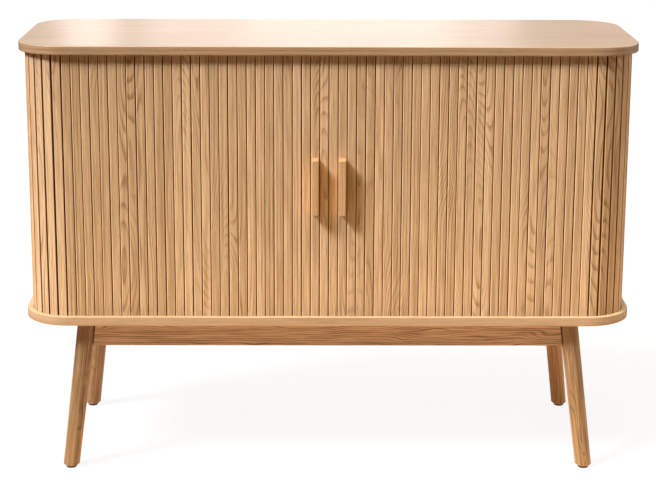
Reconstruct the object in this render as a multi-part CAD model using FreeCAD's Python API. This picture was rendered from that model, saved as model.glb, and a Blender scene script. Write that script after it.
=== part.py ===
import FreeCAD, Part
import math
import os

os.makedirs("parts", exist_ok=True)
V = FreeCAD.Vector
X, Y, Z = V(1, 0, 0), V(0, 1, 0), V(0, 0, 1)

# Whole cabinet, in millimetres
WIDTH = 1200.0
DEPTH = 400.0
HEIGHT = 850.0
LEG_HEIGHT = 299.0
TOP_SLAB = 17.0
BASE_SLAB = 18.0
CORNER_RADIUS = 90.0
EDGE_ROUND = 1.5
UNDER_ROUND = 2.0

# Sliding slat curtains
SLAT_SETBACK = 12.0
SLAT_THICKNESS = 8.0
SLAT_GAP = 1.1
SLAT_EDGE_ROUND = 1.2
HALF_FRONT_SLATS = 29
LEAD_SLATS = 4
CURTAIN_SLATS = 54
BASE_GROOVE_DEPTH = 7.0
TOP_GROOVE_DEPTH = 9.0
GROOVE_OUTSIDE = 10.5
GROOVE_INSIDE = 21.0
BOTTOM_PLAY = 0.3
TOP_PLAY = 1.5
CANVAS_THICKNESS = 1.0
CANVAS_CLEAR = 5.0
GLUE_LINE = 0.02

# Pulls
PULL_WIDTH = 14.0
PULL_DEPTH = 25.0
PULL_LENGTH = 109.0
PULL_MIDDLE_Z = 578.5
PULL_ROUND = 2.0
PULL_SCREW_SPACING = 64.0

# Carcass inside the curtains
PANEL = 16.0
SIDE_INNER_X = 512.0
PANEL_FRONT = -166.0
PANEL_BACK = 160.0
INNER_BACK = 6.0
OUTER_BACK = 4.0
OUTER_BACK_Y = 192.0
OUTER_BACK_HALF = 516.0
BACK_SLOT_DEPTH = 5.0
SHELF_MIDDLE_Z = 575.0
SHELF_FRONT = -150.0
SHELF_PLAY = 0.5
DOWEL_RADIUS = 4.0
DOWEL_IN_SLAB = 10.0
DOWEL_IN_PANEL = 18.0
DOWEL_YS = (-140.0, 0.0, 130.0)
PIN_RADIUS = 2.5
PIN_IN_PANEL = 6.5
PIN_OUT = 10.0
PIN_YS = (-115.0, 115.0)

# Leg frame
LEG_TOP_X = 477.5
LEG_TOP_Y = 150.0
LEG_SPREAD_X = 36.0
LEG_SPREAD_Y = 33.0
LEG_TOP_RADIUS = 18.0
LEG_FOOT_RADIUS = 16.0
LEG_CHAMFER = 3.5
GLIDE_HEIGHT = 4.5
GLIDE_RADIUS = 10.5
GLIDE_ROUND = 2.0
RAIL_HEIGHT = 51.5
RAIL_THICKNESS = 20.0
RAIL_X = 480.5
RAIL_Y = 153.0
RAIL_GAP = 0.4
RAIL_ROUND = 1.0
RAIL_DOWEL_ZS = (263.0, 287.0)
BRACKET_X = 300.0
BRACKET_SIZE = 28.0
BRACKET_WIDTH = 25.0
BRACKET_THICKNESS = 2.0

# The pulls stand past the slab front, so the slab middle sits behind the origin
MIDDLE_Y = (PULL_DEPTH - SLAT_SETBACK) / 2
BASE_TOP = LEG_HEIGHT + BASE_SLAB
TOP_UNDER = HEIGHT - TOP_SLAB
STRAIGHT_X = WIDTH / 2 - CORNER_RADIUS
STRAIGHT_Y = DEPTH / 2 - CORNER_RADIUS
PITCH = STRAIGHT_X / HALF_FRONT_SLATS
BACK_LINE = SLAT_SETBACK + SLAT_THICKNESS
BEND_RADIUS = CORNER_RADIUS - BACK_LINE
SLAT_FACE_Y = MIDDLE_Y - DEPTH / 2 + SLAT_SETBACK
SLAT_BACK_Y = SLAT_FACE_Y + SLAT_THICKNESS
PULL_X = PITCH * 1.5


def save(node, shape):
    shape.exportStep("parts/" + node + ".step")


def mirrored(shape):
    return shape.mirror(V(0, 0, 0), X)


def box(x0, x1, y0, y1, z0, z1):
    """Block between limits; y is measured from the middle of the slabs."""
    return Part.makeBox(x1 - x0, y1 - y0, z1 - z0, V(x0, y0 + MIDDLE_Y, z0))


def rounded_block(inset, z0, z1):
    """Slab outline with its four round corners, moved in from the edge."""
    half_x = WIDTH / 2 - inset
    half_y = DEPTH / 2 - inset
    block = box(-half_x, half_x, -half_y, half_y, z0, z1)
    upright = [e for e in block.Edges if e.BoundBox.ZLength > 1]
    return block.makeFillet(CORNER_RADIUS - inset, upright)


def ring(outside, inside, z0, z1):
    return rounded_block(outside, z0, z1).cut(rounded_block(inside, z0, z1))


def slab(z0, z1):
    block = rounded_block(0, z0, z1)
    for z, radius in ((z1, EDGE_ROUND), (z0, UNDER_ROUND)):
        rim = [e for e in block.Edges if abs(e.BoundBox.ZMin - z) + abs(e.BoundBox.ZMax - z) < 0.002]
        block = block.makeFillet(radius, rim)
    return block


def countersunk_screw(point, direction, head, radius, length):
    """Screw with its flat head at the point and its shank along the direction."""
    cone = Part.makeCone(head, radius, head - radius, point, direction)
    return cone.fuse(Part.makeCylinder(radius, length, point, direction))


def pan_screw(point, direction, head, head_height, radius, length):
    """Screw whose head stands outside the point and whose shank goes in."""
    cap = Part.makeCylinder(head, head_height, point - direction * head_height, direction)
    return cap.fuse(Part.makeCylinder(radius, length, point, direction))


def curtain_place(s):
    """Point and heading on the backs of the right-hand slats, s from the meeting line."""
    corner = BEND_RADIUS * math.pi / 2
    if s <= STRAIGHT_X:
        return s, -STRAIGHT_Y - BEND_RADIUS, 0.0
    s -= STRAIGHT_X
    if s <= corner:
        a = s / BEND_RADIUS
        x = STRAIGHT_X + BEND_RADIUS * math.sin(a)
        return x, -STRAIGHT_Y - BEND_RADIUS * math.cos(a), math.degrees(a)
    s -= corner
    if s <= 2 * STRAIGHT_Y:
        return STRAIGHT_X + BEND_RADIUS, s - STRAIGHT_Y, 90.0
    a = (s - 2 * STRAIGHT_Y) / BEND_RADIUS
    x = STRAIGHT_X + BEND_RADIUS * math.cos(a)
    return x, STRAIGHT_Y + BEND_RADIUS * math.sin(a), 90.0 + math.degrees(a)


def plain_slat():
    width = PITCH - SLAT_GAP
    low = BASE_TOP - BASE_GROOVE_DEPTH + BOTTOM_PLAY
    high = TOP_UNDER + TOP_GROOVE_DEPTH - TOP_PLAY
    block = Part.makeBox(width, SLAT_THICKNESS, high - low, V(-width / 2, -SLAT_THICKNESS, low))
    front = [e for e in block.Edges if e.BoundBox.ZLength > 1 and e.BoundBox.YMax < -1]
    return block.makeFillet(SLAT_EDGE_ROUND, front)


def slat(index):
    x, y, heading = curtain_place((index + 0.5) * PITCH)
    one = plain_slat()
    one.rotate(V(0, 0, 0), Z, heading)
    one.translate(V(x, y + MIDDLE_Y, 0))
    return one


def slats(first, last):
    return Part.makeCompound([slat(i) for i in range(first, last)])


def canvas(x0, x1, y0, y1):
    """Part of the cloth strip glued behind the right-hand slats."""
    cloth = ring(BACK_LINE + GLUE_LINE, BACK_LINE + GLUE_LINE + CANVAS_THICKNESS,
                 BASE_TOP + CANVAS_CLEAR, TOP_UNDER - CANVAS_CLEAR)
    return cloth.common(box(x0, x1, y0, y1, 0, HEIGHT))


def pull():
    face = SLAT_FACE_Y
    low = PULL_MIDDLE_Z - PULL_LENGTH / 2
    bar = Part.makeBox(PULL_WIDTH, PULL_DEPTH, PULL_LENGTH,
                       V(PULL_X - PULL_WIDTH / 2, face - PULL_DEPTH, low))
    soft = [e for e in bar.Edges if e.BoundBox.YMin < face - 1]
    return bar.makeFillet(PULL_ROUND, soft)


def pull_screws():
    screws = []
    for side in (-0.5, 0.5):
        point = V(PULL_X, SLAT_BACK_Y, PULL_MIDDLE_Z + side * PULL_SCREW_SPACING)
        screws.append(countersunk_screw(point, V(0, -1, 0), 3.6, 1.75, 23))
    return Part.makeCompound(screws)


def build_doors():
    screws = pull_screws()
    lead_end = LEAD_SLATS * PITCH
    half = DEPTH / 2
    right = {
        "meeting_slat": slat(0),
        "pull_slat": slat(1).cut(screws),
        "lead_slats": slats(2, LEAD_SLATS),
        "lead_canvas": canvas(SLAT_GAP / 2, lead_end, -half, 0),
        "pull": pull().cut(screws),
        "pull_screws": screws,
        "front_slats": slats(LEAD_SLATS, HALF_FRONT_SLATS),
        "front_canvas": canvas(lead_end, STRAIGHT_X, -half, 0),
        "end_slats": slats(HALF_FRONT_SLATS, CURTAIN_SLATS),
        "end_canvas": canvas(STRAIGHT_X, WIDTH / 2, -half, half),
    }
    for name, shape in right.items():
        save("right_" + name, shape)
        save("left_" + name, mirrored(shape))


def carcass_dowels():
    dowels = []
    middle = SIDE_INNER_X + PANEL / 2
    for x in (-middle, 0.0, middle):
        for y in DOWEL_YS:
            low = V(x, y + MIDDLE_Y, BASE_TOP - DOWEL_IN_SLAB)
            high = V(x, y + MIDDLE_Y, TOP_UNDER - DOWEL_IN_PANEL)
            length = DOWEL_IN_SLAB + DOWEL_IN_PANEL
            dowels += [Part.makeCylinder(DOWEL_RADIUS, length, p) for p in (low, high)]
    return Part.makeCompound(dowels)


def shelf_pins():
    """Two pins at each end of each shelf, let into the panels."""
    pins = []
    z = SHELF_MIDDLE_Z - PANEL / 2 - PIN_RADIUS
    for y in PIN_YS:
        for face, inward in ((SIDE_INNER_X, -1), (PANEL / 2, 1)):
            point = V(face - inward * PIN_IN_PANEL, y + MIDDLE_Y, z)
            pin = Part.makeCylinder(PIN_RADIUS, PIN_IN_PANEL + PIN_OUT, point, X * inward)
            pins += [pin, mirrored(pin)]
    return Part.makeCompound(pins)


def back_screws():
    """Screws through the inner back into the rear edges of the upright panels."""
    screws = []
    middle = SIDE_INNER_X + PANEL / 2
    for x in (-middle, 0.0, middle):
        for z in (400.0, 575.0, 750.0):
            point = V(x, PANEL_BACK + INNER_BACK + MIDDLE_Y, z)
            screws.append(countersunk_screw(point, V(0, -1, 0), 3.5, 1.75, 26))
    return Part.makeCompound(screws)


def bracket_screws():
    screws = []
    inner_y = RAIL_Y - RAIL_THICKNESS / 2
    for x in (-BRACKET_X, BRACKET_X):
        for side in (-1, 1):
            under = V(x, side * (inner_y - 17) + MIDDLE_Y, LEG_HEIGHT - BRACKET_THICKNESS)
            screws.append(pan_screw(under, Z, 3.5, 2, 1.8, 12))
            rail_y = side * (inner_y - BRACKET_THICKNESS) + MIDDLE_Y
            screws.append(pan_screw(V(x, rail_y, LEG_HEIGHT - 17), Y * side, 3.5, 2, 1.8, 14))
    return Part.makeCompound(screws)


def brackets(screws):
    """Steel angles that tie the long rails to the base."""
    inner_y = RAIL_Y - RAIL_THICKNESS / 2
    low, thin = LEG_HEIGHT - BRACKET_SIZE, BRACKET_THICKNESS
    half = BRACKET_WIDTH / 2
    angles = []
    for x in (-BRACKET_X, BRACKET_X):
        upright = box(x - half, x + half, inner_y - thin, inner_y, low, LEG_HEIGHT)
        flat = box(x - half, x + half, inner_y - BRACKET_SIZE, inner_y, LEG_HEIGHT - thin, LEG_HEIGHT)
        rear = upright.fuse(flat).removeSplitter()
        front = rear.mirror(V(0, MIDDLE_Y, 0), Y)
        angles += [rear.cut(screws), front.cut(screws)]
    return Part.makeCompound(angles)


def build_carcass():
    dowels, pins, screws = carcass_dowels(), shelf_pins(), back_screws()
    angle_screws = bracket_screws()
    groove_top = ring(GROOVE_OUTSIDE, GROOVE_INSIDE, TOP_UNDER, TOP_UNDER + TOP_GROOVE_DEPTH)
    groove_base = ring(GROOVE_OUTSIDE, GROOVE_INSIDE, BASE_TOP - BASE_GROOVE_DEPTH, BASE_TOP)
    back_low, back_high = BASE_TOP - BACK_SLOT_DEPTH, TOP_UNDER + BACK_SLOT_DEPTH
    slot = box(-OUTER_BACK_HALF - 0.2, OUTER_BACK_HALF + 0.2, OUTER_BACK_Y - 0.2,
               OUTER_BACK_Y + OUTER_BACK + 0.2, back_low, back_high)
    top = slab(TOP_UNDER, HEIGHT).cut(groove_top).cut(slot).cut(dowels)
    base = slab(LEG_HEIGHT, BASE_TOP).cut(groove_base).cut(slot).cut(dowels).cut(angle_screws)
    save("top_panel", top)
    save("base_panel", base)

    side = box(SIDE_INNER_X, SIDE_INNER_X + PANEL, PANEL_FRONT, PANEL_BACK, BASE_TOP, TOP_UNDER)
    divider = box(-PANEL / 2, PANEL / 2, PANEL_FRONT, PANEL_BACK, BASE_TOP, TOP_UNDER)
    save("right_inner_side", side.cut(dowels).cut(pins).cut(screws))
    save("left_inner_side", mirrored(side).cut(dowels).cut(pins).cut(screws))
    save("center_divider", divider.cut(dowels).cut(pins).cut(screws))

    back_half = SIDE_INNER_X + PANEL
    inner_back = box(-back_half, back_half, PANEL_BACK, PANEL_BACK + INNER_BACK,
                     BASE_TOP + 0.3, TOP_UNDER - 0.3)
    outer_back = box(-OUTER_BACK_HALF, OUTER_BACK_HALF, OUTER_BACK_Y, OUTER_BACK_Y + OUTER_BACK,
                     back_low, back_high - 1)
    save("inner_back_panel", inner_back.cut(screws))
    save("outer_back_panel", outer_back)

    shelf = box(PANEL / 2 + SHELF_PLAY, SIDE_INNER_X - SHELF_PLAY, SHELF_FRONT, PANEL_BACK - 2,
                SHELF_MIDDLE_Z - PANEL / 2, SHELF_MIDDLE_Z + PANEL / 2)
    front_y = SHELF_FRONT + MIDDLE_Y + 0.1
    front = [e for e in shelf.Edges if e.BoundBox.YMax < front_y and e.BoundBox.XLength > 9]
    shelf = shelf.makeFillet(EDGE_ROUND, front)
    save("right_shelf", shelf)
    save("left_shelf", mirrored(shelf))
    save("shelf_pins", pins)
    save("carcass_dowels", dowels)
    save("back_screws", screws)
    save("frame_brackets", brackets(angle_screws))
    save("bracket_screws", angle_screws)


def build_track_stops():
    """Blocks in the rear of both grooves that end the travel of the curtain tails."""
    near = DEPTH / 2 - GROOVE_INSIDE + 0.4
    far = DEPTH / 2 - GROOVE_OUTSIDE - 0.4
    low = box(-12, 12, near, far, BASE_TOP - BASE_GROOVE_DEPTH, BASE_TOP - 0.5)
    high = box(-12, 12, near, far, TOP_UNDER + 0.5, TOP_UNDER + TOP_GROOVE_DEPTH)
    save("rear_track_stops", Part.makeCompound([low, high]))


def leg_axis(sx, sy, z):
    """Middle of one leg at height z."""
    t = (LEG_HEIGHT - z) / LEG_HEIGHT
    x = sx * (LEG_TOP_X + LEG_SPREAD_X * t)
    return V(x, sy * (LEG_TOP_Y + LEG_SPREAD_Y * t) + MIDDLE_Y, z)


def leg_radius(z):
    return LEG_FOOT_RADIUS + (LEG_TOP_RADIUS - LEG_FOOT_RADIUS) * z / LEG_HEIGHT


def leg_body(sx, sy):
    """Tapered round leg, cut level under the base and above the floor."""
    low, high = leg_axis(sx, sy, -20), leg_axis(sx, sy, LEG_HEIGHT + 20)
    along = high - low
    cone = Part.makeCone(leg_radius(-20), leg_radius(LEG_HEIGHT + 20), along.Length, low, along)
    span = Part.makeBox(120, 120, LEG_HEIGHT - GLIDE_HEIGHT,
                        V(low.x - 60, low.y - 60, GLIDE_HEIGHT))
    return cone.common(span)


def glide(sx, sy):
    """Round nail-on glide: a disc under the leg with a pin up into it."""
    middle = leg_axis(sx, sy, GLIDE_HEIGHT)
    disc = Part.makeCylinder(GLIDE_RADIUS, GLIDE_HEIGHT, V(middle.x, middle.y, 0))
    rim = [e for e in disc.Edges if e.BoundBox.ZMax < 0.1]
    disc = disc.makeFillet(GLIDE_ROUND, rim)
    return disc.fuse(Part.makeCylinder(2, 14, middle))


def foot_chamfer(sx, sy):
    """Ring of wood taken off round the bottom of a leg."""
    middle = leg_axis(sx, sy, GLIDE_HEIGHT + LEG_CHAMFER / 2)
    middle.z = GLIDE_HEIGHT
    keep = Part.makeCone(LEG_FOOT_RADIUS - LEG_CHAMFER, LEG_FOOT_RADIUS + 0.2, LEG_CHAMFER, middle)
    return Part.makeCylinder(40, LEG_CHAMFER, middle).cut(keep)


def rail_dowel(sx, sy, z, direction):
    """Dowel half in a leg and half in the rail that leaves it along the direction."""
    axis = leg_axis(sx, sy, z)
    rail_line = V(axis.x, sy * RAIL_Y + MIDDLE_Y, z)
    if abs(direction.y) > 0.5:
        rail_line = V(sx * RAIL_X, axis.y, z)
    return Part.makeCylinder(3, 24, rail_line + direction * (leg_radius(z) - 12), direction)


def rail(along, middle):
    """Board between two legs, its ends cut straight along the splay of the round legs."""
    corners = []
    low, high = LEG_HEIGHT - RAIL_HEIGHT, LEG_HEIGHT
    for side, z in ((-1, low), (1, low), (1, high), (-1, high)):
        reach = (leg_axis(1, 1, z) - Y * MIDDLE_Y).dot(along) - leg_radius(z) - RAIL_GAP
        corners.append(along * (side * reach) + Z * z)
    face = Part.Face(Part.makePolygon(corners + corners[:1]))
    across = Z.cross(along)
    board = face.extrude(across * RAIL_THICKNESS)
    under = [e for e in board.Edges if e.BoundBox.ZMax < low + 0.1 and e.Length > 100]
    board = board.makeFillet(RAIL_ROUND, under)
    board.translate(middle - across * (RAIL_THICKNESS / 2) + Y * MIDDLE_Y)
    return board


def build_leg_frame():
    angle_screws = bracket_screws()
    ends = {"front": -1, "rear": 1, "left": -1, "right": 1}
    corners = [(sx, sy) for sx in (-1, 1) for sy in (-1, 1)]
    dowels = []
    for sx, sy in corners:
        for z in RAIL_DOWEL_ZS:
            dowels += [rail_dowel(sx, sy, z, X * -sx), rail_dowel(sx, sy, z, Y * -sy)]
    dowels = Part.makeCompound(dowels)
    for name in ("front", "rear"):
        long_rail = rail(X, Y * (ends[name] * RAIL_Y))
        save(name + "_rail", long_rail.cut(dowels).cut(angle_screws))
    for name in ("left", "right"):
        end_rail = rail(Y, X * (ends[name] * RAIL_X))
        save(name + "_end_rail", end_rail.cut(dowels))
    for front in ("front", "rear"):
        for left in ("left", "right"):
            sx, sy = ends[left], ends[front]
            foot = glide(sx, sy)
            leg = leg_body(sx, sy).cut(foot_chamfer(sx, sy)).cut(foot).cut(dowels)
            save(front + "_" + left + "_leg", leg)
            save(front + "_" + left + "_glide", foot)
    save("rail_dowels", dowels)


build_carcass()
build_track_stops()
build_doors()
build_leg_frame()
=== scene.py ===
# %% [markdown]
# # An oak credenza with sliding slat doors
# The cabinet is two oak slabs with round corners, joined by upright panels and stood on a leg frame.
# Between the slabs run two curtains of narrow upright slats, glued to canvas, that slide in grooves
# round the corners. The shapes that carry the load come ready made from the CAD frame. This lesson
# gives every surface its finish and models again what needs a hand-made look: the slats, which are
# never quite straight, and the cloth that joins them.

# %% Load the frame
import math
import random

import bpy
from mathutils import Matrix, Vector


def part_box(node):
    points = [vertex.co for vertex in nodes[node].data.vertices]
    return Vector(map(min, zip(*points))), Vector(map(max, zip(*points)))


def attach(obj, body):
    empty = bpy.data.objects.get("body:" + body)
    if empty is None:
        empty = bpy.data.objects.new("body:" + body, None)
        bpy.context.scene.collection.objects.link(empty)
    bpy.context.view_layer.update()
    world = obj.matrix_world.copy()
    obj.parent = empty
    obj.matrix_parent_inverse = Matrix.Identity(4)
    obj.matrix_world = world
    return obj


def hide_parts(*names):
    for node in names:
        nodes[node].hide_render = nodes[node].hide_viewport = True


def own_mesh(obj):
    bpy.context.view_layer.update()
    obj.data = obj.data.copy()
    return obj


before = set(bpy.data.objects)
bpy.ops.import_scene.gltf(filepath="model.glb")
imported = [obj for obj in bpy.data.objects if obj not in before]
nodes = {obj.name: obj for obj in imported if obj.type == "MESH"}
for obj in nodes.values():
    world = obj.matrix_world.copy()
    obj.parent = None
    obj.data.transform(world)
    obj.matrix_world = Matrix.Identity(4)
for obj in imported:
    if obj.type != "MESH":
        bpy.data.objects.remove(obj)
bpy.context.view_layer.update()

# %% [markdown]
# ## Writing shader maths as sums
# A procedural finish is a chain of small nodes. Placing each by hand hides the idea behind the wiring,
# so one class wraps a socket. A sum on two wires adds a Math node, and `node` adds any other node:
# first its settings, then its inputs, which may be plain values or other wires.

# %% The wire class
class Wire:
    """A value in a shader."""

    def __init__(self, tree, socket=None):
        self.tree = tree
        self.socket = socket

    def node(self, kind, settings=None, inputs=None, out=0):
        """Add a node and return one of its outputs, by number or by name."""
        made = self.tree.nodes.new("ShaderNode" + kind)
        for name, value in (settings or {}).items():
            setattr(made, name, value)
        for name, value in (inputs or {}).items():
            if isinstance(value, Wire):
                self.tree.links.new(value.socket, made.inputs[name])
            else:
                made.inputs[name].default_value = value
        return Wire(self.tree, made.outputs[out])

    def math(self, operation, *values):
        """Add a Math node that works on these values."""
        return self.node("Math", {"operation": operation}, dict(enumerate(values)))

    def __add__(self, other):
        return self.math("ADD", self, other)

    def __mul__(self, other):
        return self.math("MULTIPLY", self, other)

    def __sub__(self, other):
        return self.math("SUBTRACT", self, other)

    def __rsub__(self, other):
        return self.math("SUBTRACT", other, self)

    def __truediv__(self, other):
        return self.math("DIVIDE", self, other)

    def __abs__(self):
        return self.math("ABSOLUTE", self)

    def ease(self, low, high):
        """0 at low and 1 at high, with a smooth step between."""
        limits = {"Value": self, "From Min": low, "From Max": high}
        return self.node("MapRange", {"interpolation_type": "SMOOTHSTEP"}, limits)

    def mix(self, first, second):
        """A colour that goes from first to second as this value goes from 0 to 1."""
        return self.node("Mix", {"data_type": "RGBA"}, {0: self, 6: first, 7: second}, 2)

    def noise(self, across, along, through, detail=2.0):
        """Noise in three directions, each already scaled to the size wanted."""
        place = self.node("CombineXYZ", None, {0: across, 1: through, 2: along})
        return self.node("TexNoise", None, {"Vector": place, "Scale": 1.0, "Detail": detail})


# %% [markdown]
# ## A finish
# Each finish is one material with one Principled shader. What varies over the surface is linked, and
# what is the same all over is typed into the shader's own socket. Colours are written as a paint
# program shows them, from 0 to 255, and turned into the linear light that the shader works in.

# %% Colours and new finishes
def paint(red, green, blue):
    """A colour from 0 to 255, as linear light."""
    linear = [(c / 255 + 0.055) / 1.055 for c in (red, green, blue)]
    return tuple(c ** 2.4 for c in linear) + (1.0,)


def new_finish(name):
    """A new material, and a wire from which its node chains start."""
    material = bpy.data.materials.new(name)
    material.use_nodes = True
    return material, Wire(material.node_tree)


def wire_up(material, links, constants):
    """Link what varies into the Principled shader and type in what doesn't."""
    shader = material.node_tree.nodes["Principled BSDF"]
    for name, wire in links.items():
        material.node_tree.links.new(wire.socket, shader.inputs[name])
    for name, value in constants.items():
        shader.inputs[name].default_value = value
    print("finish:", material.name, len(material.node_tree.nodes), "nodes")
    return material


# %% [markdown]
# ## Oak
# Oak shows growth rings as bands: a coarse, darker line of pores each spring, then smooth pale wood.
# A board cut beside the heart shows the rings as straight lines, and one cut through their side shows
# nested arches. Both come from one idea: the bands are the contour lines of a sloping field, drawn
# out along the grain, with a hill here and there that turns straight lines into arches. The dark
# lines fade in patches. Fine fibres, streaks and short dark pores lie on top. Three wires give the
# place in the wood, in metres: along the grain, across it and through it. The scale of each noise is
# written as cells in a metre, first across the grain and then along it.

# %% The oak maker
FIBRE, STREAK, PORE = (400.0, 11.0), (150.0, 1.8), (1500.0, 60.0)
FIBRE_SHARE, PORE_SHARE, PORE_TONE = 1.7, 0.5, 0.42
SPRING_END, NEXT_SPRING = 0.42, 0.9
HILL_RISE, PATCH_FADE, PORE_EDGE = (0.42, 0.72), (0.25, 0.7), (0.58, 0.72)


def oak(name, lay, pale, dark, rings=46.0, sweep=5.0, hill=(5.0, 0.45), patch=(22.0, 2.2), depth=0.6,
        streak=0.9, roughness=0.42, tints=None, **extra):
    """A lacquered oak finish. lay gives the wires along, across and through, and a tone from 0 to 1."""
    material, start = new_finish(name)
    along, across, through, tone = lay(start)

    def grain(scale, detail=2.0):
        return start.noise(across * scale[0], along * scale[1], through * scale[0], detail)

    hills = grain(hill, 1.0).ease(*HILL_RISE)
    field = across * rings + through * (rings * 0.4) + hills * sweep
    year = field.math("FRACT", field)
    fading, rising = year.ease(SPRING_END, 0.0), year.ease(NEXT_SPRING, 1.0)
    spring = year.math("MAXIMUM", fading, rising)
    fibres, streaks = grain(FIBRE, 3.0), grain(STREAK)
    pores = grain(PORE, 1.0).ease(*PORE_EDGE) * (spring * 0.8 + 0.2)
    shade = spring * grain(patch).ease(*PATCH_FADE) * depth + (fibres - 0.5) * FIBRE_SHARE + 0.3
    shade = shade + (streaks - 0.5) * streak
    colour = shade.mix(pale, dark)
    colour = (pores * PORE_SHARE).mix(colour, tuple(c * PORE_TONE for c in dark[:3]) + (1.0,))
    # The tints multiply the colour by the tone: a random shift per slat, and on the slabs a painted shade on
    # the edge band.
    if tints:
        multiply = {"data_type": "RGBA", "blend_type": "MULTIPLY"}
        colour = start.node("Mix", multiply, {0: 1.0, 6: colour, 7: tone.mix(*tints)}, 2)
    height = fibres * 0.25 - pores
    bump = start.node("Bump", None, {"Strength": 0.18, "Distance": 0.0004, "Height": height})
    rough = fibres * 0.12 + pores * 0.15 + (roughness - 0.06)
    constants = {"IOR": 1.48}
    constants.update({socket.replace("_", " "): value for socket, value in extra.items()})
    return wire_up(material, {"Base Color": colour, "Roughness": rough, "Normal": bump}, constants)


# %% [markdown]
# ## How the grain lies on each piece
# A maker turns each board so that its grain follows the length of the piece. The uprights have it
# standing, the rails, shelves and backs lying, and each leg has it along its own slant. The slabs are
# veneered on the faces with the grain along the cabinet, and their edges carry a band whose grain
# runs round the corners, so there the place along the grain is the distance round the outline. The
# corners of the slabs and those of the track have the same centres, so both use the same values.
# They are read from the frame and rounded to a tenth of a millimetre.

# %% Grain by direction
SLAB_BEND = 0.09
top_low, top_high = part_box("top_panel")
MIDDLE_Y = round((top_low.y + top_high.y) / 2, 4)
STRAIGHT_X = round(top_high.x - SLAB_BEND, 4)
STRAIGHT_Y = round(top_high.y - MIDDLE_Y - SLAB_BEND, 4)
FACE_EDGE = (0.55, 0.75)
BAND_STRETCH, BAND_OFFSET = 1.6, 3.0
FOOT_X, FOOT_Y = 0.5135, 0.183
LEAN_X, LEAN_Y, LEG_RISE = 0.036, 0.033, 0.3


def object_place(start):
    place = start.node("TexCoord", out="Object")
    return [start.node("SeparateXYZ", None, {0: place}, axis) for axis in range(3)]


def board(along, across, through, offset=0.0):
    """A lay for a board whose grain runs along one axis: 0 is X, 1 is Y and 2 is Z."""
    def lay(start):
        place = object_place(start)
        return place[along] + offset, place[across] + offset * 3.7, place[through], None
    return lay


def round_the_outline(x, y):
    """Distance from the front middle round the slab's rounded outline."""
    far_x = abs(x)
    far_y = abs(y - MIDDLE_Y)
    bend_x = far_x.math("MAXIMUM", far_x - STRAIGHT_X, 0.0)
    bend_y = far_y.math("MAXIMUM", far_y - STRAIGHT_Y, 0.0)
    corner = bend_x.math("ARCTAN2", bend_x, bend_y) * SLAB_BEND
    along_front = far_x.math("MINIMUM", far_x, STRAIGHT_X)
    along_end = STRAIGHT_Y - far_y.math("MINIMUM", far_y, STRAIGHT_Y)
    return along_front + corner + along_end


def slab_lay(offset):
    """A lay for a slab: along X on its faces and round the outline on the edge band."""
    def lay(start):
        x, y, z = object_place(start)
        facing = start.node("SeparateXYZ", None, {0: start.node("TexCoord", out="Normal")}, 2)
        face = abs(facing).ease(*FACE_EDGE)
        along = face * x + (1 - face) * round_the_outline(x, y) + offset
        across = face * y + (1 - face) * (z * BAND_STRETCH + BAND_OFFSET) + offset * 2.3
        # The tone is 1 on the faces and 0 on the edge band, which the tints darken as painted shade.
        return along, across, face * 0.3, face
    return lay


def leg_lay(side, end):
    """A lay along one slanting leg, in its own place in the wood; side and end are -1 or 1."""
    foot = Vector((side * FOOT_X, end * FOOT_Y + MIDDLE_Y, 0.0))
    slant = Vector((-side * LEAN_X, -end * LEAN_Y, LEG_RISE)).to_track_quat("Z", "Y").to_euler()

    def lay(start):
        place = start.node("TexCoord", out="Object")
        settings = {"vector_type": "TEXTURE"}
        turned = start.node("Mapping", settings, {"Vector": place, "Location": foot, "Rotation": slant})
        x, y, z = [start.node("SeparateXYZ", None, {0: turned}, axis) for axis in range(3)]
        return z + side * 0.9 + end * 2.1, x + side * 0.05, y + end * 0.07, None
    return lay


# %% Oak finishes for the carcass and legs
TOP_PALE, TOP_DARK = paint(210, 174, 143), paint(160, 121, 86)
BASE_PALE, BASE_DARK = paint(225, 197, 161), paint(192, 158, 120)
RAIL_PALE, RAIL_DARK = paint(229, 192, 163), paint(139, 100, 73)
LEG_PALE, LEG_DARK = paint(164, 127, 90), paint(78, 52, 30)
PULL_PALE, PULL_DARK = paint(231, 183, 135), paint(189, 140, 95)
LINING_PALE, LINING_DARK = paint(220, 186, 144), paint(192, 152, 108)
# Painted shade: the edge bands of both slabs are tinted darker and warmer than their faces.
TOP_EDGE_SHADE = ((0.96, 0.90, 0.835, 1.0), (1.0, 1.0, 1.0, 1.0))
BASE_EDGE_SHADE = ((0.90, 0.78, 0.76, 1.0), (1.0, 1.0, 1.0, 1.0))

oak_top = oak("oak top", slab_lay(0.7), TOP_PALE, TOP_DARK, rings=70, roughness=0.3, tints=TOP_EDGE_SHADE,
              Coat_Weight=0.8, Coat_Roughness=0.28)
oak_base = oak("oak base", slab_lay(4.1), BASE_PALE, BASE_DARK, rings=70, roughness=0.36,
               tints=BASE_EDGE_SHADE)
wavy = {"rings": 230, "sweep": 2.6, "hill": (26, 7), "patch": (70, 14), "depth": 0.9, "streak": 0.5}
oak_rail = oak("oak rail", board(0, 2, 1, 0.3), RAIL_PALE, RAIL_DARK, **wavy)
oak_end_rail = oak("oak end rail", board(1, 2, 0, 0.8), RAIL_PALE, RAIL_DARK, **wavy)
oak_upright = oak("oak upright", board(2, 1, 0, 1.9), LINING_PALE, LINING_DARK)
oak_lying = oak("oak shelf", board(0, 1, 2, 2.6), LINING_PALE, LINING_DARK)
oak_back = oak("oak back", board(0, 2, 1, 5.2), LINING_PALE, LINING_DARK)
oak_pull = oak("oak pull", board(2, 0, 1, 0.45), PULL_PALE, PULL_DARK, rings=170, sweep=3)

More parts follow.
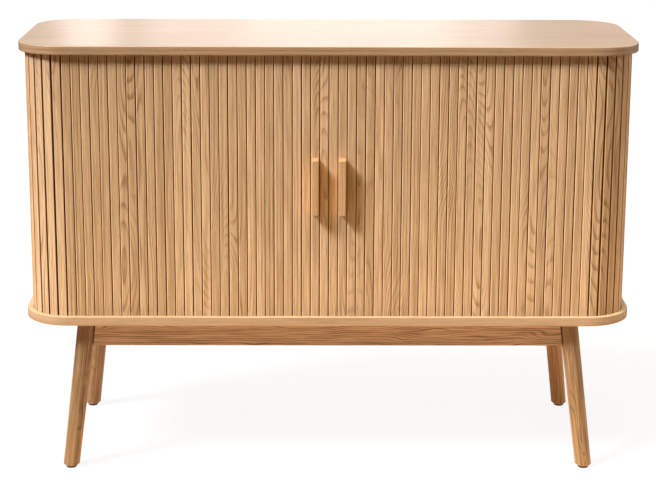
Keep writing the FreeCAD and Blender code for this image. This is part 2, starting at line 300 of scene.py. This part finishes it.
# %% [markdown]
# ## Beech, steel, plastic and canvas
# The dowels are beech, which has no bands to speak of, only short brown flecks. The screws and angles
# are zinc-plated steel, slightly cloudy. The glides under the feet are black moulded plastic. The
# cloth behind the slats is a plain-woven canvas: threads pass over and under each other like the
# squares of a chessboard, so a chequer decides which of two thread directions lies on top.

# %% Small finishes
THREAD = 0.0013


def beech():
    material, start = new_finish("beech")
    x, y, z = object_place(start)
    clouds = start.noise(x * 60.0, z * 60.0, y * 60.0)
    flecks = start.noise(x * 900.0, z * 900.0, y * 900.0).ease(0.6, 0.7)
    colour = flecks.mix(clouds.mix(paint(222, 190, 150), paint(205, 168, 126)), paint(168, 122, 82))
    return wire_up(material, {"Base Color": colour, "Roughness": clouds * 0.1 + 0.5}, {"IOR": 1.45})


def zinc_steel():
    material, start = new_finish("zinc-plated steel")
    x, y, z = object_place(start)
    clouds = start.noise(x * 500.0, z * 500.0, y * 500.0, 3.0)
    colour = clouds.mix(paint(178, 182, 186), paint(205, 205, 202))
    return wire_up(material, {"Base Color": colour, "Roughness": clouds * 0.25 + 0.22}, {"Metallic": 1.0})


def black_plastic():
    material, start = new_finish("black plastic")
    x, y, z = object_place(start)
    grain = start.noise(x * 2600.0, z * 2600.0, y * 2600.0)
    bump = start.node("Bump", None, {"Strength": 0.2, "Distance": 0.0002, "Height": grain})
    colour = grain.mix(paint(14, 14, 15), paint(26, 25, 25))
    links = {"Base Color": colour, "Roughness": grain * 0.2 + 0.5, "Normal": bump}
    return wire_up(material, links, {"Specular IOR Level": 0.25})


def brown_canvas():
    material, start = new_finish("brown canvas")
    x, y, z = object_place(start)
    weft = round_the_outline(x, y) / THREAD
    warp = z / THREAD
    under = weft.math("FLOOR", weft) + warp.math("FLOOR", warp)
    chequer = under.math("FLOORED_MODULO", under, 2.0)
    standing = abs(weft.math("SINE", weft * math.pi))
    lying = abs(warp.math("SINE", warp * math.pi))
    thread = chequer * standing + (1 - chequer) * lying
    slubs = start.noise(x * 300.0, z * 40.0, y * 300.0)
    colour = thread.mix(paint(58, 32, 10), slubs.mix(paint(126, 76, 32), paint(142, 92, 44)))
    bump = start.node("Bump", None, {"Strength": 0.5, "Distance": 0.0004, "Height": thread})
    links = {"Base Color": colour, "Roughness": 0.95 - thread * 0.1, "Normal": bump}
    return wire_up(material, links, {"Specular IOR Level": 0.0})


beech_finish, steel_finish = beech(), zinc_steel()
plastic_finish, canvas_finish = black_plastic(), brown_canvas()

# %% [markdown]
# ## Dressing the CAD pieces
# The slabs, panels, rails, legs and pulls are exact as they come, so they keep their CAD shape and
# only get a finish. Each goes into the material slot that the mesh already has. The legs are turned
# from different pieces of oak, so each has its own grain. Each leg is also made paler or darker by its
# own amount, which is painted light and shade for the place where it stands.

# %% Give each CAD piece its finish
SIDES = (("left", -1), ("right", 1))
ENDS = (("front", -1), ("rear", 1))
# Painted light: each leg's colour is scaled to stand in for the light at its corner; the rear right leg is
# made much paler to lift it out of shade.
LEG_PAINTED_LIGHT = {"front_left": 0.96, "front_right": 1.17, "rear_left": 0.88, "rear_right": 1.35}
dress = {
    "top_panel": oak_top, "base_panel": oak_base,
    "left_inner_side": oak_upright, "right_inner_side": oak_upright, "center_divider": oak_upright,
    "inner_back_panel": oak_back, "outer_back_panel": oak_back,
    "left_shelf": oak_lying, "right_shelf": oak_lying,
    "front_rail": oak_rail, "rear_rail": oak_rail,
    "left_end_rail": oak_end_rail, "right_end_rail": oak_end_rail,
    "left_pull": oak_pull, "right_pull": oak_pull,
    "carcass_dowels": beech_finish, "rail_dowels": beech_finish, "rear_track_stops": beech_finish,
}
steel_names = ("shelf_pins", "back_screws", "frame_brackets", "bracket_screws", "left_pull_screws",
               "right_pull_screws")
for name in steel_names:
    dress[name] = steel_finish
for end_name, end in ENDS:
    for side_name, side in SIDES:
        corner = end_name + "_" + side_name
        pale, dark = [tuple(c * LEG_PAINTED_LIGHT[corner] for c in ink[:3]) + (1.0,) for ink in (LEG_PALE, LEG_DARK)]
        dress[corner + "_leg"] = oak("oak leg " + corner, leg_lay(side, end), pale, dark, rings=300,
                                     sweep=1.6, hill=(40, 9), patch=(90, 20), depth=0.5, streak=1.3)
        dress[corner + "_glide"] = plastic_finish
for name, finish in dress.items():
    slots = nodes[name].data.materials
    slots.clear()
    slots.append(finish)
print("dressed", len(dress), "CAD pieces")

# %% [markdown]
# ## One slat
# A slat is a strip of oak with its two front edges rounded over. It starts as a block of the CAD
# slat's size. The front edges are bevelled. The front face is split into a broad strip and two that
# are only half a millimetre wide beside the rounded edges, so that smooth shading keeps the broad one
# flat and the light turns quickly at the edges, as on planed wood. The long edges are divided so that
# the strip can bow.
# The block is made at the middle of the cabinet with its back on Y = 0, ready to be carried round the
# track. Selections are made in code, by where an edge or point lies.

# %% Model the slat
def select_where(piece, kind, wanted):
    """Select the points or edges that pass the test, and stay in edit mode."""
    bpy.ops.object.mode_set(mode="EDIT")
    bpy.ops.mesh.select_mode(type=kind)
    bpy.ops.mesh.select_all(action="DESELECT")
    bpy.ops.object.mode_set(mode="OBJECT")
    points = piece.data.vertices
    for item in points if kind == "VERT" else piece.data.edges:
        ends = [item.co] if kind == "VERT" else [points[i].co for i in item.vertices]
        item.select = wanted(*ends)
    bpy.ops.object.mode_set(mode="EDIT")


low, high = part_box("right_meeting_slat")
SLAT = high - low
SLAT_MIDDLE = (low.z + high.z) / 2
SLAT_BACK = high.y
EDGE = 0.0015
RIM = 0.0005
FRONT = 0.0001 - SLAT.y


def upright(a, b):
    """Whether the edge between two points runs from end to end of the slat."""
    return abs(a.z - b.z) > SLAT.z / 2


bpy.ops.object.select_all(action="DESELECT")
bpy.ops.mesh.primitive_cube_add(size=1, calc_uvs=False, location=(0, -SLAT.y / 2, SLAT_MIDDLE))
master = bpy.context.object
master.name = "slat_master"
master.scale = SLAT
bpy.ops.object.transform_apply(location=True, rotation=True, scale=True)
select_where(master, "EDGE", lambda a, b: upright(a, b) and a.y < FRONT)
bpy.ops.mesh.bevel(offset=EDGE, segments=3, affect="EDGES")
select_where(master, "EDGE", lambda a, b: not upright(a, b) and max(a.y, b.y) < FRONT)
bpy.ops.mesh.subdivide(number_cuts=2)
select_where(master, "VERT", lambda p: abs(p.x) < SLAT.x * 0.3 and p.y < FRONT)
# The cuts lie at a third of the flat's half width and are spread to its rims.
flat_half = SLAT.x / 2 - EDGE
spread = 3 * (flat_half - RIM) / flat_half
bpy.ops.transform.resize(value=(spread, 1, 1), center_override=(0, 0, SLAT_MIDDLE))
select_where(master, "EDGE", upright)
bpy.ops.mesh.subdivide(number_cuts=5)
bpy.ops.object.mode_set(mode="OBJECT")
print("slat", [round(v * 1000, 1) for v in SLAT], "mm,", len(master.data.polygons), "faces")

# %% [markdown]
# ## Round the track
# The slats stand side by side on a path that runs straight along the front, bends round the corner,
# goes along the end and bends again. The path is measured on the backs of the slats, because there
# the canvas keeps them at an even pitch. Seen closely the real slats bow and lean by part of a
# millimetre and differ in width, so the dark joints between them swell and thin. The middle of each
# copy is pushed aside with proportional editing, and the copy leans, twists and is planed narrower by
# chance. The slat that carries the pull stays square to it. Each keeps its place on the path in a UV
# map, so that the figure of the wood runs on from slat to slat as it does in one board sawn into strips.

# %% Places and copies
STRAIGHT_SLATS, ROUND_SLATS = 29, 25
PITCH = STRAIGHT_X / STRAIGHT_SLATS
BEND = round(MIDDLE_Y - STRAIGHT_Y - SLAT_BACK, 4)
WOBBLE = 0.0002
TWIST = 0.012
WIDTHS = (0.97, 0.998)
BOW_REACH = 0.27
chance = random.Random(29)


def track_place(distance):
    """Point and heading on the slat backs at a distance from the meeting line, right-hand side."""
    corner, end = BEND * math.pi / 2, STRAIGHT_Y * 2
    front_y, rear_y = MIDDLE_Y - STRAIGHT_Y, MIDDLE_Y + STRAIGHT_Y
    if distance <= STRAIGHT_X:
        return distance, front_y - BEND, 0.0
    distance -= STRAIGHT_X
    if distance <= corner:
        turn = distance / BEND
        return STRAIGHT_X + BEND * math.sin(turn), front_y - BEND * math.cos(turn), turn
    distance -= corner
    if distance <= end:
        return STRAIGHT_X + BEND, front_y + distance, math.pi / 2
    turn = (distance - end) / BEND
    return STRAIGHT_X + BEND * math.cos(turn), rear_y + BEND * math.sin(turn), math.pi / 2 + turn


def bent_copy(bow, lean):
    """A copy of the slat, bowed and leaning sideways by these amounts, in metres."""
    bpy.ops.object.select_all(action="DESELECT")
    copy = master.copy()
    copy.data = master.data.copy()
    bpy.context.scene.collection.objects.link(copy)
    copy.select_set(True)
    bpy.context.view_layer.objects.active = copy
    select_where(copy, "VERT", lambda p: abs(p.z - SLAT_MIDDLE) < 0.02)
    bpy.ops.transform.translate(value=(bow, 0, 0), use_proportional_edit=True,
                                proportional_edit_falloff="SMOOTH", proportional_size=BOW_REACH)
    bpy.ops.mesh.select_all(action="SELECT")
    turn = lean / SLAT.z
    bpy.ops.transform.rotate(value=turn, orient_axis="Y", center_override=(0, 0, SLAT_MIDDLE))
    bpy.ops.object.mode_set(mode="OBJECT")
    return copy


def place_slat(index, side):
    """One slat on the left (-1) or right (1) track, with its figure and tone written on it."""
    slat = bent_copy(chance.uniform(-WOBBLE, WOBBLE), chance.uniform(-WOBBLE, WOBBLE))
    mesh = slat.data
    distance = (index + 0.5) * PITCH
    figure = mesh.uv_layers.new(name="track")
    for loop in mesh.loops:
        point = mesh.vertices[loop.vertex_index].co
        figure.data[loop.index].uv = (side * distance + point.x + point.y, point.z)
    tone = mesh.attributes.new("slat_tone", "FLOAT", "POINT")
    tone.data.foreach_set("value", [chance.random()] * len(mesh.vertices))
    depth = mesh.attributes.new("joint_depth", "FLOAT", "POINT")
    depth.data.foreach_set("value", [1 + min(v.co.y, 0) / SLAT.y for v in mesh.vertices])
    x, y, heading = track_place(distance)
    has_pull = index == 1
    shift = 0.0 if has_pull else chance.uniform(-WOBBLE, WOBBLE)
    twist = 0.0 if has_pull else chance.uniform(-TWIST, TWIST)
    aside = chance.uniform(-WOBBLE, WOBBLE)
    width = Matrix.Diagonal((chance.uniform(*WIDTHS), 1, 1, 1))
    stand = Matrix.Translation((side * x, y, 0)) @ Matrix.Rotation(side * heading + twist, 4, "Z")
    mesh.transform(stand @ Matrix.Translation((aside, shift, 0)) @ width)
    return slat


# %% [markdown]
# ## The oak of the slats
# The slats are sawn from flat boards, so their figure is read from the UV map: across the grain is the
# distance along the track and along the grain is the height. The tone of each slat shifts the place
# in the wood a little, so that neighbours agree in the large figure but not in every fibre. The
# rounded edges are paler, partly as sanding leaves them and partly as a painted highlight. The sides
# of the joints are orange-brown, partly a lacquer stain and partly painted shade, darker the deeper
# they lie. How deep a point lies is kept as a share of the slat's thickness: 0 is the face and 1 the
# back.

# %% Slat finish
TONE_SHIFT = 0.05


def slat_lay(start):
    """A lay that reads the figure from the UV map, shifted a little by the slat's tone."""
    place = start.node("UVMap", {"uv_map": "track"})
    u, v = [start.node("SeparateXYZ", None, {0: place}, axis) for axis in range(2)]
    tone = start.node("Attribute", {"attribute_name": "slat_tone"}, out="Fac")
    return v + tone * TONE_SHIFT, u, tone * TONE_SHIFT, tone


SLAT_PALE, SLAT_DARK = paint(242, 201, 160), paint(180, 136, 96)
SLAT_TINTS = ((0.88, 0.85, 0.80, 1.0), (1.08, 1.08, 1.06, 1.0))
SANDED_HIGHLIGHT, STAINED_SHADE, DEEP_STAINED_SHADE = paint(255, 238, 210), paint(202, 115, 33), paint(120, 74, 20)
oak_slat = oak("oak slats", slat_lay, SLAT_PALE, SLAT_DARK, rings=150, sweep=13, hill=(9, 1.4),
               depth=0.72, roughness=0.5, tints=SLAT_TINTS, Specular_IOR_Level=0.0)
shader = oak_slat.node_tree.nodes["Principled BSDF"]
wood = Wire(oak_slat.node_tree, shader.inputs["Base Color"].links[0].from_socket)
depth = wood.node("Attribute", {"attribute_name": "joint_depth"}, out="Fac")
# Partly sanding and partly a painted highlight: a thin, nearly white line along the front of each rounded
# edge.
sanded_highlight_mask = depth.ease(0.0, 0.015) * (1 - depth.ease(0.025, 0.05))
highlit_edges = (sanded_highlight_mask * 0.95).mix(wood, SANDED_HIGHLIGHT)
# Part lacquer stain and part painted shade: the joints' sides turn orange-brown and grow darker the deeper
# they lie.
stained_shade = depth.ease(0.1, 0.3).mix(STAINED_SHADE, DEEP_STAINED_SHADE)
wire_up(oak_slat, {"Base Color": depth.ease(0.02, 0.075).mix(highlit_edges, stained_shade)}, {})

# %% [markdown]
# ## The curtains
# Each curtain is built in groups that follow the CAD nodes: the slat at the meeting line, the one with
# the pull, two more leading slats, the rest of the front, and the slats round the corner and the end.
# A group is joined into one piece and shaded smooth over the rounded edges. The leading slats ride on
# their door. The front group rides on its door too and gets a mesh of its own.

# %% Build the slat groups
GROUPS = {
    "meeting_slat": (0, 1), "pull_slat": (1, 2), "lead_slats": (2, 4),
    "front_slats": (4, STRAIGHT_SLATS), "end_slats": (STRAIGHT_SLATS, STRAIGHT_SLATS + ROUND_SLATS),
}


def join_pieces(pieces, name):
    """Join pieces into one with a new name."""
    bpy.ops.object.select_all(action="DESELECT")
    for piece in pieces:
        piece.select_set(True)
    bpy.context.view_layer.objects.active = pieces[0]
    bpy.ops.object.join()
    joined = bpy.context.object
    joined.name = name
    return joined


def slat_group(side_name, side, group):
    """One group of slats as a finished piece that stands for its CAD node."""
    first, last = GROUPS[group]
    slats = [place_slat(i, side) for i in range(first, last)]
    piece = join_pieces(slats, side_name + "_" + group + "_oak")
    bpy.ops.object.shade_smooth_by_angle(angle=math.radians(60))
    piece.data.materials.append(oak_slat)
    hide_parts(side_name + "_" + group)
    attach(piece, "cabinet" if group == "end_slats" else side_name + "_door")
    if group == "front_slats":
        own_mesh(piece)
    return piece


for side_name, side in SIDES:
    for group in GROUPS:
        made = slat_group(side_name, side, group)
        print(made.name, len(made.data.polygons), "faces")
bpy.data.objects.remove(master)

# %% [markdown]
# ## The canvas
# The cloth behind the slats is glued to each strip and free at the joints, where it folds when the
# curtain bends. It is one plane, divided at the edges and the middle of each joint, and the middle of
# each joint is pulled inwards a little. The end piece starts as a single upright edge that is spun
# round the corner, drawn along the end and spun again, as the track goes. Solidify gives the cloth
# its thickness. The middle of the cloth is set in by part of a millimetre from the front of its CAD
# solid.

# %% Flat canvas behind the straight front
CLOTH = 0.0005
FLAT_SET, END_SET = 0.0003, 0.0005
TUCK = 0.0003
TUCK_SHARE = 0.12


def finish_cloth(piece, name, node, body):
    """Thicken a cloth, give it its finish, hide the CAD node that it stands for and hang it on its body."""
    bpy.ops.object.mode_set(mode="OBJECT")
    piece.name = name
    bpy.ops.object.modifier_add(type="SOLIDIFY")
    piece.modifiers[0].thickness = CLOTH
    piece.modifiers[0].offset = 0.0
    bpy.ops.object.modifier_apply(modifier=piece.modifiers[0].name)
    bpy.ops.object.shade_smooth_by_angle(angle=math.radians(50))
    piece.data.materials.append(canvas_finish)
    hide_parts(node)
    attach(piece, body)
    print(name, [round(v * 1000, 1) for v in piece.dimensions], "mm")
    return piece


def flat_canvas(side_name, group):
    """The cloth behind the leading slats or behind the rest of the front."""
    node = side_name + "_" + group + "_canvas"
    low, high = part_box(node)
    size, middle = high - low, (low + high) / 2
    count = round(size.x / PITCH)
    bpy.ops.object.select_all(action="DESELECT")
    bpy.ops.mesh.primitive_grid_add(x_subdivisions=count * 4, y_subdivisions=1, size=1, calc_uvs=False,
                                    location=(middle.x, low.y + FLAT_SET, middle.z),
                                    rotation=(math.pi / 2, 0, 0))
    piece = bpy.context.object
    piece.scale = (size.x, size.z, 1)
    bpy.ops.object.transform_apply(location=True, rotation=True, scale=True)
    select_where(piece, "VERT", lambda p: abs(p.x / PITCH - round(p.x / PITCH)) < TUCK_SHARE)
    bpy.ops.transform.translate(value=(0, TUCK, 0))
    name = side_name + "_" + group + "_cloth"
    return finish_cloth(piece, name, node, side_name + "_door")


for side_name, side in SIDES:
    flat_canvas(side_name, "lead")
    cloth = flat_canvas(side_name, "front")
    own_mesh(cloth)

# %% Canvas round the ends
SPARE = 0.1
BEND_STEPS, END_STEPS = 12, 6


def end_canvas(side_name, side):
    """The cloth behind the slats round one end."""
    node = side_name + "_end_canvas"
    low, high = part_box(node)
    front = low.y + END_SET
    bpy.ops.object.select_all(action="DESELECT")
    start = (side * STRAIGHT_X, front, (low.z + high.z) / 2)
    bpy.ops.mesh.primitive_plane_add(size=1, calc_uvs=False, location=start, rotation=(0, math.pi / 2, 0))
    piece = bpy.context.object
    piece.scale = (high.z - low.z, SPARE, 1)
    bpy.ops.object.transform_apply(location=True, rotation=True, scale=True)
    select_where(piece, "VERT", lambda p: p.y > front)
    bpy.ops.mesh.delete(type="VERT")
    bpy.ops.mesh.select_all(action="SELECT")
    bpy.ops.transform.translate(value=(0, SPARE / 2, 0))
    turn, end = -side * math.pi / 2, STRAIGHT_Y * 2
    front_bend = (side * STRAIGHT_X, MIDDLE_Y - STRAIGHT_Y, 0)
    rear_bend = (side * STRAIGHT_X, MIDDLE_Y + STRAIGHT_Y, 0)
    bpy.ops.mesh.spin(steps=BEND_STEPS, angle=turn, center=front_bend, axis=(0, 0, 1))
    for _ in range(END_STEPS):
        bpy.ops.mesh.extrude_region_move(TRANSFORM_OT_translate={"value": (0, end / END_STEPS, 0)})
    bpy.ops.mesh.spin(steps=BEND_STEPS, angle=turn, center=rear_bend, axis=(0, 0, 1))
    bpy.ops.mesh.select_all(action="SELECT")
    bpy.ops.mesh.remove_doubles(threshold=0.0001)
    bpy.ops.mesh.normals_make_consistent(inside=False)
    return finish_cloth(piece, side_name + "_end_cloth", node, "cabinet")


for side_name, side in SIDES:
    end_canvas(side_name, side)

# %% [markdown]
# ## Floor and light
# A studio picture like this has a cool lamp high on the left, which draws the bright left edges of
# the slats and the shadows of the pulls. A broad warm one overhead lights the top and lets the shade
# under it fade slowly and turn brown, and weaker ones on the right and behind keep those sides from
# going black. White paper lies close round the cabinet and throws warm light up at the legs: it
# reflects, and it also glows like a hidden lamp that the camera doesn't see. The studio beyond it is
# dim. The camera sees the floor as white.
# The lacquered top mirrors lit panels far behind, side by side and unequally bright.

# %% Floor
FLOOR_SIZE = 80
HALF_WIDTH, HALF_DEPTH = 0.6, 0.2
PAPER_NEAR, PAPER_FAR = 0.2, 0.6

bpy.ops.object.select_all(action="DESELECT")
bpy.ops.mesh.primitive_plane_add(size=FLOOR_SIZE, location=(0, 0, 0))
floor = bpy.context.object
floor.name = "floor"
material, start = new_finish("white paper floor")
seen = start.node("LightPath", out="Is Camera Ray")
x, y = object_place(start)[:2]
beyond = x.math("MAXIMUM", abs(x) - HALF_WIDTH, abs(y) - HALF_DEPTH).ease(PAPER_NEAR, PAPER_FAR)
paper = beyond.mix(paint(242, 216, 182), paint(72, 58, 44))
# Painted light: near the cabinet the paper glows warm for every ray but the camera's, as a hidden lamp.
glow = (1 - seen) * (1 - beyond)
floor_shade = material.node_tree.nodes["Principled BSDF"]
links = {"Base Color": seen.mix(paper, paint(243, 243, 242)),
         "Emission Color": glow.mix((0, 0, 0, 1), (1.0, 0.65, 0.36, 1.0))}
wire_up(material, links, {"Roughness": 0.8, "Emission Strength": 0.45})
white = start.node("Emission", None, {"Color": (1, 1, 1, 1), "Strength": 1.0})
lit = Wire(start.tree, floor_shade.outputs[0])
surface = start.node("MixShader", None, {0: seen * 0.9, 1: lit, 2: white})
floor_out = material.node_tree.nodes["Material Output"]
material.node_tree.links.new(surface.socket, floor_out.inputs["Surface"])
floor.data.materials.append(material)

# %% Lamps and world
def sun(name, towards, energy, width, colour):
    """A far lamp. towards points from the cabinet to it, and width is its spread in degrees."""
    bpy.ops.object.light_add(type="SUN")
    lamp = bpy.context.object
    lamp.name = name
    lamp.rotation_euler = Vector(towards).to_track_quat("Z", "Y").to_euler()
    lamp.data.energy = energy
    lamp.data.angle = math.radians(width)
    lamp.data.color = colour
    print(name, "energy", energy)


sun("key lamp", (-0.5897, -0.3685, 0.7186), 4.21, 15, (0.87, 0.935, 1.0))
sun("overhead lamp", (-0.15, -0.29, 0.945), 1.75, 38, (1.0, 0.84, 0.36))
sun("right fill lamp", (0.95, 0.15, 0.27), 1.35, 40, (1.0, 0.98, 0.96))
sun("back fill lamp", (0.3, 0.88, 0.36), 0.9, 40, (1.0, 0.98, 0.96))
bpy.context.object.visible_glossy = False


PANEL_BACK, PANEL_MIDDLE, PANEL_TALL = 5.0, 1.6, 1.0


def panel(name, x, width, energy):
    """A lit panel far behind the cabinet, which the lacquered top mirrors."""
    place = (x, PANEL_BACK, PANEL_MIDDLE)
    bpy.ops.object.light_add(type="AREA", location=place, rotation=(-math.pi / 2, 0, 0))
    lamp = bpy.context.object
    lamp.name = name
    lamp.data.shape = "RECTANGLE"
    lamp.data.size, lamp.data.size_y = width, PANEL_TALL
    lamp.data.energy = energy


# The place along X, the width and the brightness of each panel.
PANELS = ((-1.1, 0.25, 1.5), (-0.6, 0.5, 0.9), (-0.1, 0.5, 1.3), (0.4, 0.5, 1.3), (0.8, 0.3, 0.8))
for place, width, light in PANELS:
    panel("panel behind", place, width, light * math.pi * width * PANEL_TALL)

world = bpy.data.worlds.new("studio")
world.use_nodes = True
bpy.context.scene.world = world
air = Wire(world.node_tree)
seen = air.node("LightPath", out="Is Camera Ray")
mirrored = air.node("LightPath", out="Is Glossy Ray") + air.node("LightPath", out="Is Transmission Ray")
MIRRORED_SHARE = 0.44
plain = seen.math("MINIMUM", seen + mirrored * MIRRORED_SHARE, 1.0)
fill = air.node("Background", None, {"Color": (1.0, 0.72, 0.46, 1.0), "Strength": 0.05})
blank = air.node("Background", None, {"Color": (1, 1, 1, 1), "Strength": 1.0})
sky = air.node("MixShader", None, {0: plain, 1: fill, 2: blank})
world.node_tree.links.new(sky.socket, world.node_tree.nodes["World Output"].inputs["Surface"])
bpy.context.scene.view_settings.view_transform = "Standard"

# %% [markdown]
# ## Camera
# The picture is taken from far off, a little above the top, nearly square on. The lens is long, so the
# uprights stay almost parallel.

# %% Set the camera
bpy.ops.object.camera_add()
camera = bpy.context.object
CAMERA_PLACE = (-0.03394, -3.54481, 1.34393)
pitch, yaw, roll = 0.23317, 0.00966, 0.00404
aim = Matrix.Rotation(-yaw, 4, "Z") @ Matrix.Rotation(math.pi / 2 - pitch, 4, "X")
aim = aim @ Matrix.Rotation(roll, 4, "Z")
camera.matrix_world = Matrix.Translation(CAMERA_PLACE) @ aim
camera.data.sensor_width = 36.0
camera.data.lens = 98.11
camera.data.shift_y = -0.06
bpy.context.scene.camera = camera
